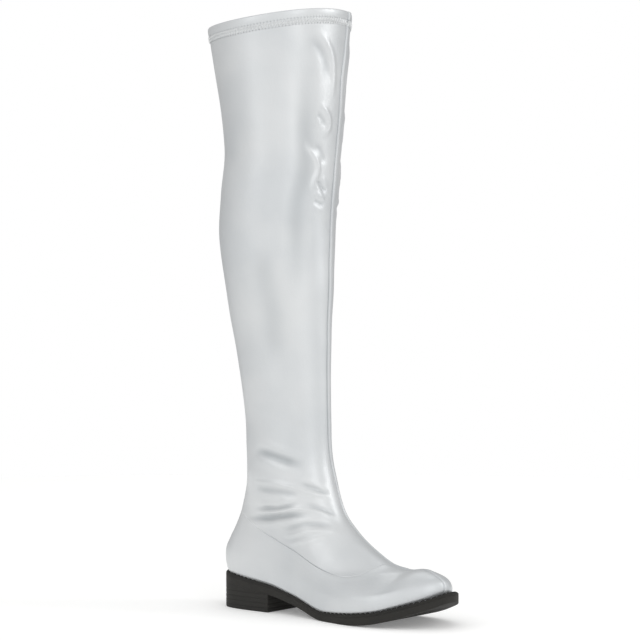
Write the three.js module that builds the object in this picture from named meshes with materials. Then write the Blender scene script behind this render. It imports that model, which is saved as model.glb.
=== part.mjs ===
// Thigh-high pull-on boot for the right foot: a stretch shaft with an elastic collar band, a foot part
// joined to it by a curved seam, and a welted sole with a low stacked heel.
// Millimetres, +X to the toe, +Y to the inner side of the leg, +Z up. The origin is the middle of the
// heel's flat base, on the floor. While modelling, x runs from the back of the sole to its toe tip.
import * as THREE from "three";

// Driving dimensions of the sole.
const soleLength = 270;
const ballWidth = 96;
const soleThickness = 10.2;
const waistThickness = 8.4;
const edgeRounding = 1.4;
const heelHeight = 25;
const heelLength = 71;
const topPieceThickness = 4;
const toeSpring = 24.3;
const liftCount = 4;
const liftPitch = 4.6;
const liftGroove = 0.4;
const weltThickness = 2.6;
const weltWidth = 7.5;
const weltLedge = 4;
const insoleThickness = 3;

// Driving dimensions of the upper: heights are above the top of the sole.
const ankleHeight = 100;
const shaftHeight = 553;
const calfDepth = 120;
const calfWidth = 113;
const upperWall = 1.8;
const collarWall = 2.4;
const collarBandHeight = 15;
const seamWidth = 5.4;
const seamRise = 0.8;
const seamSlope = 0.6;
const collarRaise = 0.4;

// Curved pieces that meet stay this far apart.
const fit = 0.3;

// The foot's sides start to hang below its crest at this share of the way from heel to toe, and hang
// in full one blend further on.
const crownStart = 0.3;
const crownBlend = 0.5;

// How finely the surfaces are cut into facets.
const columnsPerSide = 18;
const footRings = 14;
const shaftRings = 27;
const bandRings = 3;
const halvings = 16;

// The line that the sole's underside follows from heel to toe: along is a share of soleLength,
// heel a share of heelHeight and toe a share of toeSpring, slim 1 where the waist is thinnest.
const soleLine = [
  { along: 0.0, heel: 1.0, toe: 0, slim: 0.3 },
  { along: 0.07, heel: 0.965, toe: 0, slim: 0.3 },
  { along: 0.14, heel: 0.87, toe: 0, slim: 0.3 },
  { along: 0.21, heel: 0.78, toe: 0, slim: 0.3 },
  { along: 0.27, heel: 0.695, toe: 0, slim: 0.3 },
  { along: 0.33, heel: 0.565, toe: 0, slim: 0.45 },
  { along: 0.39, heel: 0.42, toe: 0, slim: 0.6 },
  { along: 0.44, heel: 0.26, toe: 0, slim: 0.7 },
  { along: 0.48, heel: 0.125, toe: 0, slim: 0.8 },
  { along: 0.515, heel: 0.035, toe: 0, slim: 0.9 },
  { along: 0.55, heel: 0, toe: 0, slim: 1 },
  { along: 0.61, heel: 0, toe: 0, slim: 0.8 },
  { along: 0.67, heel: 0, toe: 0, slim: 0.3 },
  { along: 0.73, heel: 0, toe: 0.055, slim: 0 },
  { along: 0.79, heel: 0, toe: 0.17, slim: 0 },
  { along: 0.85, heel: 0, toe: 0.36, slim: 0 },
  { along: 0.91, heel: 0, toe: 0.6, slim: 0.4 },
  { along: 0.965, heel: 0, toe: 0.82, slim: 0.5 },
  { along: 1.0, heel: 0, toe: 1, slim: 0.5 },
];

// The foot's outline seen from above, from heel to toe. Lateral and medial multiply a plain ellipse
// whose half width is half of ballWidth. Ledge is the share of weltLedge that the sole stands proud.
const footOutline = [
  { along: 0.0, lateral: 1.34, medial: 1.34, ledge: 0.45 },
  { along: 0.12, lateral: 0.96, medial: 0.95, ledge: 0.4 },
  { along: 0.27, lateral: 0.74, medial: 0.7, ledge: 0.25 },
  { along: 0.42, lateral: 0.75, medial: 0.58, ledge: 0.15 },
  { along: 0.55, lateral: 0.88, medial: 0.7, ledge: 0.35 },
  { along: 0.68, lateral: 1.04, medial: 0.98, ledge: 0.6 },
  { along: 0.8, lateral: 1.11, medial: 1.2, ledge: 0.75 },
  { along: 0.91, lateral: 1.06, medial: 1.32, ledge: 0.9 },
  { along: 1.0, lateral: 0.98, medial: 1.3, ledge: 1 },
];

// Sections of the foot, each a loop from a point on the heel's back to one on the toe, instep or shin.
// Back and front are shares of soleLength, the rises and crown of ankleHeight, the half widths of
// ballWidth. Foot is 1 where the loop keeps the foot's outline, and crown is how far its sides hang.
const footSections = [
  { back: 0.01, front: 0.975, backRise: 0, frontRise: 0, lateral: 0.475, medial: 0.475, foot: 1, crown: 0 },
  { back: 0.0, front: 0.977, backRise: 0.12, frontRise: 0.08, lateral: 0.487, medial: 0.485, foot: 1, crown: 0.01 },
  { back: 0.001, front: 0.962, backRise: 0.24, frontRise: 0.165, lateral: 0.48, medial: 0.465, foot: 1, crown: 0.04 },
  { back: 0.016, front: 0.928, backRise: 0.34, frontRise: 0.24, lateral: 0.455, medial: 0.445, foot: 0.97, crown: 0.08 },
  { back: 0.031, front: 0.885, backRise: 0.43, frontRise: 0.303, lateral: 0.425, medial: 0.43, foot: 0.9, crown: 0.12 },
  { back: 0.045, front: 0.82, backRise: 0.52, frontRise: 0.36, lateral: 0.39, medial: 0.4, foot: 0.8, crown: 0.14 },
  { back: 0.057, front: 0.74, backRise: 0.61, frontRise: 0.41, lateral: 0.355, medial: 0.365, foot: 0.62, crown: 0.13 },
  { back: 0.067, front: 0.65, backRise: 0.7, frontRise: 0.56, lateral: 0.33, medial: 0.335, foot: 0.42, crown: 0.09 },
  { back: 0.077, front: 0.573, backRise: 0.79, frontRise: 0.715, lateral: 0.325, medial: 0.325, foot: 0.22, crown: 0.05 },
  { back: 0.087, front: 0.508, backRise: 0.89, frontRise: 0.89, lateral: 0.33, medial: 0.33, foot: 0.08, crown: 0.02 },
];

// Sections of the leg: the rises are 0 at ankleHeight and 1 at the collar, centre is a share of
// soleLength, depth of calfDepth and width of calfWidth. Egg narrows the shin against the calf.
const legSections = [
  { backRise: 0, frontRise: 0, centre: 0.28, depth: 0.812, width: 0.604, egg: 0.08, crown: 0 },
  { backRise: 0.05, frontRise: 0.05, centre: 0.272, depth: 0.772, width: 0.589, egg: 0.1, crown: 0 },
  { backRise: 0.121, frontRise: 0.121, centre: 0.267, depth: 0.768, width: 0.596, egg: 0.1, crown: 0 },
  { backRise: 0.205, frontRise: 0.205, centre: 0.2565, depth: 0.802, width: 0.66, egg: 0.1, crown: 0 },
  { backRise: 0.309, frontRise: 0.309, centre: 0.241, depth: 0.872, width: 0.746, egg: 0.1, crown: 0 },
  { backRise: 0.414, frontRise: 0.414, centre: 0.228, depth: 0.935, width: 0.87, egg: 0.1, crown: 0 },
  { backRise: 0.52, frontRise: 0.52, centre: 0.218, depth: 0.983, width: 0.97, egg: 0.08, crown: 0 },
  { backRise: 0.609, frontRise: 0.609, centre: 0.227, depth: 0.98, width: 0.994, egg: 0.04, crown: 0 },
  { backRise: 0.704, frontRise: 0.704, centre: 0.2405, depth: 0.966, width: 0.996, egg: 0, crown: 0 },
  { backRise: 0.797, frontRise: 0.821, centre: 0.238, depth: 1.052, width: 1.054, egg: 0, crown: 0 },
  { backRise: 0.883, frontRise: 0.915, centre: 0.2305, depth: 1.132, width: 1.127, egg: 0, crown: 0.015 },
  { backRise: 0.968, frontRise: 1, centre: 0.224, depth: 1.21, width: 1.195, egg: 0, crown: 0.035 },
];

// The seam between foot part and shaft: around is 0 at the back and 1 at the front line, section
// the place in the two tables above, counted from the feather line.
const vampSeam = [
  { around: 0.0, section: 6.4 },
  { around: 0.23, section: 5.92 },
  { around: 0.29, section: 5.38 },
  { around: 0.35, section: 4.95 },
  { around: 0.41, section: 4.75 },
  { around: 0.48, section: 5.0 },
  { around: 0.55, section: 5.5 },
  { around: 0.61, section: 5.72 },
  { around: 0.68, section: 5.38 },
  { around: 0.75, section: 5.52 },
  { around: 0.81, section: 5.88 },
  { around: 0.87, section: 6.06 },
  { around: 0.94, section: 6.2 },
  { around: 1.0, section: 6.25 },
];

// How far the front seam's middle is turned past the front line towards the inner side, as a share of
// half a turn, at places in the two tables of sections.
const seamTurn = [
  { section: 0, turn: 0 },
  { section: 3, turn: 0.01 },
  { section: 4, turn: 0.03 },
  { section: 5, turn: 0.06 },
  { section: 6, turn: 0.09 },
  { section: 7, turn: 0.12 },
  { section: 8.5, turn: 0.13 },
  { section: 9.4, turn: 0.117 },
  { section: 10, turn: 0.1 },
  { section: 11, turn: 0.08 },
  { section: 12.4, turn: 0.063 },
  { section: 14, turn: 0.058 },
  { section: 16, turn: 0.066 },
  { section: 17.1, turn: 0.071 },
  { section: 18.2, turn: 0.083 },
  { section: 19.3, turn: 0.081 },
  { section: 20.1, turn: 0.1 },
  { section: 21, turn: 0.104 },
];

const mix = (a, b, share) => a + (b - a) * share;
const clamp = (value, low, high) => Math.min(high, Math.max(low, value));
const smooth = (share) => share * share * (3 - 2 * share);

// A column of a table at a place between its rows, on a Catmull-Rom curve.
function columnAt(rows, column, place) {
  const last = rows.length - 1;
  const row = clamp(Math.floor(place), 0, last - 1);
  const t = clamp(place - row, 0, 1);
  const value = (i) => rows[clamp(i, 0, last)][column];
  const [p0, p1, p2, p3] = [row - 1, row, row + 1, row + 2].map(value);
  const slopes = (p2 - p0) * t + (2 * p0 - 5 * p1 + 4 * p2 - p3) * t * t;
  return p1 + (slopes + (3 * p1 - p0 - 3 * p2 + p3) * t * t * t) / 2;
}

// The place in a table where its increasing key column reaches a value.
function placeOf(rows, key, value) {
  const last = rows.length - 1;
  const wanted = clamp(value, rows[0][key], rows[last][key]);
  let row = 0;
  while (row < last - 1 && rows[row + 1][key] < wanted) row += 1;
  return row + (wanted - rows[row][key]) / (rows[row + 1][key] - rows[row][key]);
}

// Heights of the sole's underside and top at a place along it.
function soleBottom(x) {
  const place = placeOf(soleLine, "along", x / soleLength);
  const heel = columnAt(soleLine, "heel", place) * heelHeight;
  return Math.max(0, heel + columnAt(soleLine, "toe", place) * toeSpring);
}
function soleTop(x) {
  const slim = columnAt(soleLine, "slim", placeOf(soleLine, "along", x / soleLength));
  return soleBottom(x) + mix(soleThickness, waistThickness, slim);
}
const seatHeight = soleTop(0);

// Both tables of sections as one list of loops in millimetres.
const sections = [
  ...footSections.map((row) => ({
    backX: row.back * soleLength,
    frontX: row.front * soleLength,
    backZ: soleTop(row.back * soleLength) + row.backRise * ankleHeight,
    frontZ: soleTop(row.front * soleLength) + row.frontRise * ankleHeight,
    lateral: row.lateral * ballWidth,
    medial: row.medial * ballWidth,
    foot: row.foot,
    crown: row.crown * ankleHeight,
    crownFrom: crownStart,
    egg: 0,
  })),
  ...legSections.map((row) => ({
    backX: row.centre * soleLength - (row.depth * calfDepth) / 2,
    frontX: row.centre * soleLength + (row.depth * calfDepth) / 2,
    backZ: seatHeight + mix(ankleHeight, shaftHeight, row.backRise),
    frontZ: seatHeight + mix(ankleHeight, shaftHeight, row.frontRise),
    lateral: (row.width * calfWidth) / 2,
    medial: (row.width * calfWidth) / 2,
    foot: 0,
    crown: row.crown * ankleHeight,
    crownFrom: -crownBlend,
    egg: row.egg,
  })),
];
const collarPlace = sections.length - 1;

// The upper's outer face. Angle runs from 0 at the back over the lateral side to pi at the front line,
// and on over the medial side. Place counts through the sections. Raise lifts the point off the face.
function facePoint(angle, place) {
  const of = (column) => columnAt(sections, column, place);
  const along = (1 - Math.cos(angle)) / 2;
  const side = angle <= Math.PI ? "lateral" : "medial";
  const outline = columnAt(footOutline, side, placeOf(footOutline, "along", along));
  const oval = 1 + of("egg") * Math.cos(angle);
  const half = of(side) * Math.sin(angle) * mix(oval, outline, of("foot"));
  const x = mix(of("backX"), of("frontX"), along);
  const chord = mix(soleTop(of("backX")), soleTop(of("frontX")), along);
  const sag = of("foot") * (soleTop(x) - chord);
  const toward = smooth(clamp((along - of("crownFrom")) / crownBlend, 0, 1));
  const hang = of("crown") * Math.sin(angle) ** 2 * toward;
  return new THREE.Vector3(x, -half, mix(of("backZ"), of("frontZ"), along) + sag - hang);
}
function faceNormal(angle, place) {
  const step = 1e-3;
  const low = Math.max(place - step, 0);
  const high = Math.min(place + step, collarPlace);
  const around = facePoint(angle + step, place).sub(facePoint(angle - step, place));
  const up = facePoint(angle, high).sub(facePoint(angle, low));
  return around.cross(up).normalize();
}

// The columns that one side of the upper is cut at: even from the back seam to the front one, whose
// foot, crest and joint run at fixed distances from its middle. Raised is 1 on top of the seam.
function columnsOf(side, place) {
  const step = 1e-3;
  const turned = columnAt(seamTurn, "turn", placeOf(seamTurn, "section", place));
  const [start, sign] = side === "lateral" ? [0, 1] : [2 * Math.PI, -1];
  const angleOff = (angle, distance) => {
    const run = facePoint(angle + step, place).distanceTo(facePoint(angle - step, place));
    return angle + (sign * distance * 2 * step) / run;
  };
  const middle = Math.PI * (1 + turned);
  const back = angleOff(start, fit / 2);
  const seamFoot = angleOff(middle, -seamWidth / 2 - seamSlope);
  const columns = Array.from({ length: columnsPerSide }, (_, i) => ({
    angle: mix(back, seamFoot, i / columnsPerSide),
    raised: 0,
  }));
  columns.push({ angle: seamFoot, raised: 0 });
  columns.push({ angle: angleOff(middle, -seamWidth / 2), raised: 1 });
  columns.push({ angle: angleOff(middle, -fit / 2), raised: 1 });
  return side === "lateral" ? columns : columns.reverse();
}
const ringColumns = (place) => [...columnsOf("lateral", place), ...columnsOf("medial", place)];

// Rings of one closed loop each. A stack without caps closes on itself; a capped one is filled at both
// ends by strips between the points that lie opposite each other.
function skin(rings, capped) {
  const count = rings[0].length;
  const positions = rings.flat().flatMap((p) => [p.x, p.y, p.z]);
  const faces = [];
  const layers = capped ? rings.length - 1 : rings.length;
  for (let r = 0; r < layers; r += 1) {
    const low = r * count;
    const high = ((r + 1) % rings.length) * count;
    for (let i = 0; i < count; i += 1) {
      const j = (i + 1) % count;
      const [a, b, c, d] = [low + i, low + j, high + j, high + i];
      if (high > low) faces.push(a, b, c, a, c, d);
      else faces.push(a, b, d, b, c, d);
    }
  }
  if (capped) {
    const top = (rings.length - 1) * count;
    for (let i = 0; 2 * i + 2 <= count; i += 1) {
      const [a, b, c, d] = [i, i + 1, count - i - 1, (count - i) % count];
      if (b !== c) faces.push(a, c, b, top + a, top + b, top + c);
      if (a !== d) faces.push(a, d, c, top + a, top + c, top + d);
    }
  }
  const geometry = new THREE.BufferGeometry();
  geometry.setAttribute("position", new THREE.Float32BufferAttribute(positions, 3));
  geometry.setIndex(faces);
  geometry.computeVertexNormals();
  return geometry;
}

// A ring moved inwards in plan, each corner along its bisector, with new heights from heightAt.
function insetRing(ring, distance, heightAt) {
  return ring.map((point, i) => {
    const before = ring[(i + ring.length - 1) % ring.length];
    const after = ring[(i + 1) % ring.length];
    const arrive = new THREE.Vector2(point.x - before.x, point.y - before.y).normalize();
    const leave = new THREE.Vector2(after.x - point.x, after.y - point.y).normalize();
    const inward = new THREE.Vector2(-arrive.y - leave.y, arrive.x + leave.x);
    inward.multiplyScalar((2 * distance) / inward.lengthSq());
    const x = point.x + inward.x;
    return new THREE.Vector3(x, point.y + inward.y, heightAt(x));
  });
}

// The sole's outline, cut off square at reach where the heel's breast ends it.
function soleRing(heightAt, reach = soleLength) {
  const first = sections[0];
  const count = reach < soleLength ? columnsPerSide : columnsPerSide * 2;
  const cut = Math.acos(1 - (2 * Math.min(reach, soleLength)) / soleLength);
  const sidePoint = (angle, side, sign) => {
    const along = (1 - Math.cos(angle)) / 2;
    const place = placeOf(footOutline, "along", along);
    const ledge = columnAt(footOutline, "ledge", place) * weltLedge;
    const half = first[side] * columnAt(footOutline, side, place) * Math.sin(angle);
    const proud = ledge * Math.sin(angle) ** 0.5;
    const x = along * soleLength;
    return new THREE.Vector3(x, sign * (half + proud), heightAt(x));
  };
  const angles = Array.from({ length: count + 1 }, (_, i) => (cut * i) / count);
  const lateral = angles.map((angle) => sidePoint(angle, "lateral", -1));
  const whole = reach >= soleLength;
  const medialAngles = angles.slice(1, whole ? -1 : undefined).reverse();
  return [...lateral, ...medialAngles.map((angle) => sidePoint(angle, "medial", 1))];
}

const finishes = {
  pearl: { color: 0xd3d5d7, roughness: 0.38, metalness: 0.35 },
  lining: { color: 0xc9c6c0, roughness: 0.85, metalness: 0 },
  darkRubber: { color: 0x33322f, roughness: 0.62, metalness: 0 },
};
const boot = new THREE.Group();
boot.position.x = -heelLength / 2;
function addPiece(name, finish, geometry) {
  const piece = new THREE.Mesh(geometry, new THREE.MeshStandardMaterial(finishes[finish]));
  piece.name = name;
  boot.add(piece);
}

// Outsole: one moulded piece from heel seat to toe, with a rebate round its top edge for the welt.
function outsoleRings() {
  const edge = soleRing(soleBottom);
  const rebateFloor = (x) => soleTop(x) - weltThickness - fit;
  return [
    insetRing(edge, edgeRounding, soleBottom),
    insetRing(edge, 0, (x) => soleBottom(x) + edgeRounding),
    insetRing(edge, 0, rebateFloor),
    insetRing(edge, weltWidth + fit, rebateFloor),
    insetRing(edge, weltWidth + fit, soleTop),
  ];
}
addPiece("outsole", "darkRubber", skin(outsoleRings(), true));

// Welt: a strip in the outsole's rebate that carries the upper's lower edge.
function weltRings() {
  const edge = soleRing(soleTop);
  const under = (x) => soleTop(x) - weltThickness;
  return [
    insetRing(edge, 0, under),
    insetRing(edge, 0, (x) => soleTop(x) - edgeRounding / 2),
    insetRing(edge, edgeRounding / 2, soleTop),
    insetRing(edge, weltWidth, soleTop),
    insetRing(edge, weltWidth, under),
  ];
}
addPiece("welt", "darkRubber", skin(weltRings(), false));

// Heel block: lifts marked by grooves round its side, under the outsole's seat.
function heelRings() {
  const base = topPieceThickness + fit;
  const under = (x) => soleBottom(x) - fit;
  const edge = soleRing(() => base, heelLength);
  const rings = [insetRing(edge, 0, () => base)];
  for (let lift = 1; lift < liftCount; lift += 1) {
    const least = 3 * liftGroove * (liftCount - lift);
    const groove = (x) => Math.min(base + lift * liftPitch, under(x) - least);
    for (const [offset, depth] of [[-liftGroove, 0], [0, liftGroove], [liftGroove, 0]]) {
      rings.push(insetRing(edge, depth, (x) => groove(x) + offset));
    }
  }
  rings.push(insetRing(edge, 0, under));
  return rings;
}
addPiece("heel_block", "darkRubber", skin(heelRings(), true));

// Top piece: the wearing layer that the heel stands on.
function topPieceRings() {
  const edge = soleRing(() => 0, heelLength);
  return [
    insetRing(edge, edgeRounding / 2, () => 0),
    insetRing(edge, 0, () => edgeRounding / 2),
    insetRing(edge, 0, () => topPieceThickness),
  ];
}
addPiece("heel_top_piece", "darkRubber", skin(topPieceRings(), true));

// One row of points of the upper, a share of the way from one line to another. Depth goes into the
// wall, and lift, 1 on the outer face and 0 on the inner, carries the seam and any extra raise.
function rowOfPoints(columns, line, depth, lift, raise = 0) {
  return columns.map((column) => {
    const place = line(column.angle);
    const out = lift * (raise + column.raised * seamRise) - depth;
    return facePoint(column.angle, place).addScaledVector(faceNormal(column.angle, place), out);
  });
}
const between = (from, to, share) => (angle) => mix(from(angle), to(angle), share);

// A panel of the upper on one side: at each ring, its outer face and back along its inner face. On the
// sole its edge is flat, a fit above it.
function panelRings({ side, from, to, rings, onSole = false }) {
  return Array.from({ length: rings + 1 }, (_, i) => {
    const line = between(from, to, i / rings);
    const columns = columnsOf(side, line(Math.PI));
    const ring = [
      ...rowOfPoints(columns, line, 0, 1),
      ...rowOfPoints(columns, line, upperWall, 0).reverse(),
    ];
    if (onSole && i === 0) for (const point of ring) point.z = soleTop(point.x) + fit;
    return ring;
  });
}

// A band right round the upper: its outer face from bottom to top, and down its inner face.
function bandRingsOf({ from, to, wall, raise, rings }) {
  const rows = Array.from({ length: rings + 1 }, (_, i) => between(from, to, i / rings));
  const columns = ringColumns(from(Math.PI));
  return [
    ...rows.map((line) => rowOfPoints(columns, line, 0, 1, raise)),
    ...rows.reverse().map((line) => rowOfPoints(columns, line, wall, 0)),
  ];
}

// A line round the upper moved up or down its face by a distance measured square to the line.
function shiftedLine(line, distance) {
  const step = 0.01;
  return (angle) => {
    const place = line(angle);
    const rise = facePoint(angle, place + step).distanceTo(facePoint(angle, place - step));
    const run = facePoint(angle + step, place).distanceTo(facePoint(angle - step, place));
    const climb = ((line(angle + step) - line(angle - step)) * rise) / (2 * step * run);
    return place + (distance * Math.hypot(1, climb) * 2 * step) / rise;
  };
}
const featherLine = () => 0;
const collarLine = () => collarPlace;
const vampSeamLine = (angle) => {
  const around = Math.acos(Math.cos(angle)) / Math.PI;
  return columnAt(vampSeam, "section", placeOf(vampSeam, "around", around));
};

// The band's lower edge: the place that lies the band's height under the rim, found by halving.
const bandLine = (angle) => {
  const wanted = facePoint(angle, collarPlace).z - collarBandHeight;
  let [low, high] = [collarPlace - 1, collarPlace];
  for (let i = 0; i < halvings; i += 1) {
    const middle = (low + high) / 2;
    if (facePoint(angle, middle).z < wanted) low = middle;
    else high = middle;
  }
  return (low + high) / 2;
};

// The upper: two foot panels up to the curved seam, two shaft panels above it and the collar band.
for (const [name, side] of [["outer", "lateral"], ["inner", "medial"]]) {
  const foot = {
    side,
    from: featherLine,
    to: shiftedLine(vampSeamLine, -fit / 2),
    rings: footRings,
    onSole: true,
  };
  const shaft = {
    side,
    from: shiftedLine(vampSeamLine, fit / 2),
    to: shiftedLine(bandLine, -fit / 2),
    rings: shaftRings,
  };
  addPiece(`foot_${name}_panel`, "pearl", skin(panelRings(foot), true));
  addPiece(`shaft_${name}_panel`, "pearl", skin(panelRings(shaft), true));
}
const collarBand = {
  from: shiftedLine(bandLine, fit / 2),
  to: collarLine,
  wall: collarWall,
  raise: collarRaise,
  rings: bandRings,
};
addPiece("collar_band", "pearl", skin(bandRingsOf(collarBand), false));

// Insole: a plate inside the vamp, on the outsole and the welt.
function insoleRings() {
  const wallFoot = rowOfPoints(ringColumns(0), featherLine, 0, 0);
  const edge = upperWall + fit * 2;
  const under = (x) => soleTop(x) + fit;
  const over = (x) => soleTop(x) + fit + insoleThickness;
  return [insetRing(wallFoot, edge, under), insetRing(wallFoot, edge, over)];
}
addPiece("insole", "lining", skin(insoleRings(), true));

export default boot;
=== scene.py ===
# A thigh-high boot in pearl silver stretch cloth, for the right foot, seen from its outer side.
# Shapes are worked out in millimetres, x from the back of the sole to the toe tip, and put into their
# meshes in metres with the origin under the middle of the heel, as in the CAD model.
import math
import bpy
import numpy as np
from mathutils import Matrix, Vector


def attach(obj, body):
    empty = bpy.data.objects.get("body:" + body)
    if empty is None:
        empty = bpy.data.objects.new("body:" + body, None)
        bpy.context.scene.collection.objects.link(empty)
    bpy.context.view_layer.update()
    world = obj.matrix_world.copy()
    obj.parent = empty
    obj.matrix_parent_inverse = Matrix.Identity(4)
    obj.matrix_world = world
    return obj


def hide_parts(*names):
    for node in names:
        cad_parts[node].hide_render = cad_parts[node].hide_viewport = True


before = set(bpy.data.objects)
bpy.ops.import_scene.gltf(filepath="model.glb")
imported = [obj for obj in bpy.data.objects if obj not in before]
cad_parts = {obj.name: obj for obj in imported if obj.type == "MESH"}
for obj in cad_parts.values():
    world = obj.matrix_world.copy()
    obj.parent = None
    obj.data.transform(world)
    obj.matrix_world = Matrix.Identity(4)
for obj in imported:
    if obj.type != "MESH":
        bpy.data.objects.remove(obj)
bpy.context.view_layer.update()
print("frame loaded:", sorted(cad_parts))

# ---------------------------------------------------------------- camera
cameraView = dict(
    target=(0.0764, 0.0, 0.2866),  # the point in the middle of the picture, in metres
    azimuth=39.0,                  # degrees round from the outer side towards the toe
    distance=2.22,
    height=0.332,
    fieldOfView=16.0,
)


def makeCamera(view):
    lens = bpy.data.cameras.new("camera")
    lens.sensor_width = 36
    lens.lens = lens.sensor_width / 2 / math.tan(math.radians(view["fieldOfView"]) / 2)
    camera = bpy.data.objects.new("camera", lens)
    turn = math.radians(view["azimuth"])
    target = Vector(view["target"])
    across = Vector((math.sin(turn), -math.cos(turn), 0)) * view["distance"]
    camera.location = Vector((target.x + across.x, target.y + across.y, view["height"]))
    camera.rotation_mode = "QUATERNION"
    camera.rotation_quaternion = (target - camera.location).to_track_quat("-Z", "Y")
    bpy.context.scene.collection.objects.link(camera)
    bpy.context.scene.camera = camera


makeCamera(cameraView)
print("camera placed")

# ---------------------------------------------------------------- the boot's measured shape
bootSizes = dict(
    soleLength=270, ballWidth=96, soleThickness=10.2, waistThickness=8.4,
    heelHeight=25, heelLength=71, topPieceThickness=4, toeSpring=24.3,
    weltThickness=2.6, weltLedge=4, ankleHeight=100, shaftHeight=553,
    calfDepth=120, calfWidth=113, wall=1.8, crownStart=0.3, crownBlend=0.5,
)

# The line of the sole's underside: along, share of heelHeight, share of toeSpring, slimness
soleLine = np.array([
    (0.0, 1.0, 0, 0.3), (0.07, 0.965, 0, 0.3), (0.14, 0.87, 0, 0.3), (0.21, 0.78, 0, 0.3),
    (0.27, 0.695, 0, 0.3), (0.33, 0.565, 0, 0.45), (0.39, 0.42, 0, 0.6), (0.44, 0.26, 0, 0.7),
    (0.48, 0.125, 0, 0.8), (0.515, 0.035, 0, 0.9), (0.55, 0, 0, 1), (0.61, 0, 0, 0.8),
    (0.67, 0, 0, 0.3), (0.73, 0, 0.055, 0), (0.79, 0, 0.17, 0), (0.85, 0, 0.36, 0),
    (0.91, 0, 0.6, 0.4), (0.965, 0, 0.82, 0.5), (1.0, 0, 1, 0.5),
]).T

# The foot's outline from above: along, lateral and medial factors on a plain ellipse, ledge share
footOutline = np.array([
    (0.0, 1.34, 1.34, 0.45), (0.12, 0.96, 0.95, 0.4), (0.27, 0.74, 0.7, 0.25),
    (0.42, 0.75, 0.58, 0.15), (0.55, 0.88, 0.7, 0.35), (0.68, 1.04, 0.98, 0.6),
    (0.8, 1.11, 1.2, 0.75), (0.91, 1.06, 1.32, 0.9), (1.0, 0.98, 1.3, 1),
]).T

# Loops of the foot: back, front, back rise, front rise, lateral, medial, foot share, crown
footLoops = np.array([
    (0.01, 0.975, 0, 0, 0.475, 0.475, 1, 0),
    (0.0, 0.977, 0.12, 0.08, 0.487, 0.485, 1, 0.01),
    (0.001, 0.962, 0.24, 0.165, 0.48, 0.465, 1, 0.04),
    (0.016, 0.928, 0.34, 0.24, 0.455, 0.445, 0.97, 0.08),
    (0.031, 0.885, 0.43, 0.303, 0.425, 0.43, 0.9, 0.12),
    (0.045, 0.82, 0.52, 0.36, 0.39, 0.4, 0.8, 0.14),
    (0.057, 0.74, 0.61, 0.41, 0.355, 0.365, 0.62, 0.13),
    (0.067, 0.65, 0.7, 0.56, 0.33, 0.335, 0.42, 0.09),
    (0.077, 0.573, 0.79, 0.715, 0.325, 0.325, 0.22, 0.05),
    (0.087, 0.508, 0.89, 0.89, 0.33, 0.33, 0.08, 0.02),
]).T

# Loops of the leg: back rise, front rise, centre, depth, width, egg, crown
legLoops = np.array([
    (0, 0, 0.28, 0.812, 0.604, 0.08, 0),
    (0.05, 0.05, 0.272, 0.772, 0.589, 0.1, 0),
    (0.121, 0.121, 0.267, 0.768, 0.596, 0.1, 0),
    (0.205, 0.205, 0.2565, 0.802, 0.66, 0.1, 0),
    (0.309, 0.309, 0.241, 0.872, 0.746, 0.1, 0),
    (0.414, 0.414, 0.228, 0.935, 0.87, 0.1, 0),
    (0.52, 0.52, 0.218, 0.983, 0.97, 0.08, 0),
    (0.609, 0.609, 0.227, 0.98, 0.994, 0.04, 0),
    (0.704, 0.704, 0.2405, 0.966, 0.996, 0, 0),
    (0.797, 0.821, 0.238, 1.052, 1.054, 0, 0),
    (0.883, 0.915, 0.2305, 1.132, 1.127, 0, 0.015),
    (0.968, 1, 0.224, 1.21, 1.195, 0, 0.035),
]).T

# The curved seam between foot and shaft: around, place among the loops
vampSeam = np.array([
    (0.0, 6.4), (0.23, 5.92), (0.29, 5.38), (0.35, 4.95), (0.41, 4.75), (0.48, 5.0), (0.55, 5.5),
    (0.61, 5.72), (0.68, 5.38), (0.75, 5.52), (0.81, 5.88), (0.87, 6.06), (0.94, 6.2), (1.0, 6.25),
]).T

# How far the front seam is turned past the front line to the inner side: place, share of half a turn
seamTurn = np.array([
    (0, 0), (3, 0.01), (4, 0.03), (5, 0.06), (6, 0.09), (7, 0.12), (8.5, 0.13), (9.4, 0.117),
    (10, 0.1), (11, 0.08), (12.4, 0.063), (14, 0.058), (16, 0.066), (17.1, 0.071),
    (18.2, 0.083), (19.3, 0.081), (20.1, 0.1), (21, 0.104),
]).T


def curveThrough(keys, values, at):
    # A cubic between each two keys, that leaves and arrives at the mean slope of the neighbours
    keys, values = np.asarray(keys, float), np.asarray(values, float)
    wideKeys = np.concatenate([[2 * keys[0] - keys[1]], keys, [2 * keys[-1] - keys[-2]]])
    wideValues = np.concatenate([values[:1], values, values[-1:]])
    slopes = (wideValues[2:] - wideValues[:-2]) / (wideKeys[2:] - wideKeys[:-2])
    at = np.clip(at, keys[0], keys[-1])
    i = np.clip(np.searchsorted(keys, at, side="right") - 1, 0, len(keys) - 2)
    width = keys[i + 1] - keys[i]
    t = (at - keys[i]) / width
    return (
        (1 + 2 * t) * (1 - t) ** 2 * values[i] + t * (1 - t) ** 2 * width * slopes[i]
        + t * t * (3 - 2 * t) * values[i + 1] + t * t * (t - 1) * width * slopes[i + 1]
    )


def mix(a, b, share):
    return a + (b - a) * share


def smooth(share):
    # 0 below 0 and 1 above 1, with level ends
    share = np.clip(share, 0, 1)
    return share * share * (3 - 2 * share)


def bell(distance, width):
    # 1 at no distance, falling to a third at one width
    return np.exp(-((distance / width) ** 2))


def soleBottom(x):
    along = np.asarray(x, float) / bootSizes["soleLength"]
    heel = curveThrough(soleLine[0], soleLine[1], along) * bootSizes["heelHeight"]
    return np.maximum(0, heel + curveThrough(soleLine[0], soleLine[2], along) * bootSizes["toeSpring"])


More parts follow.
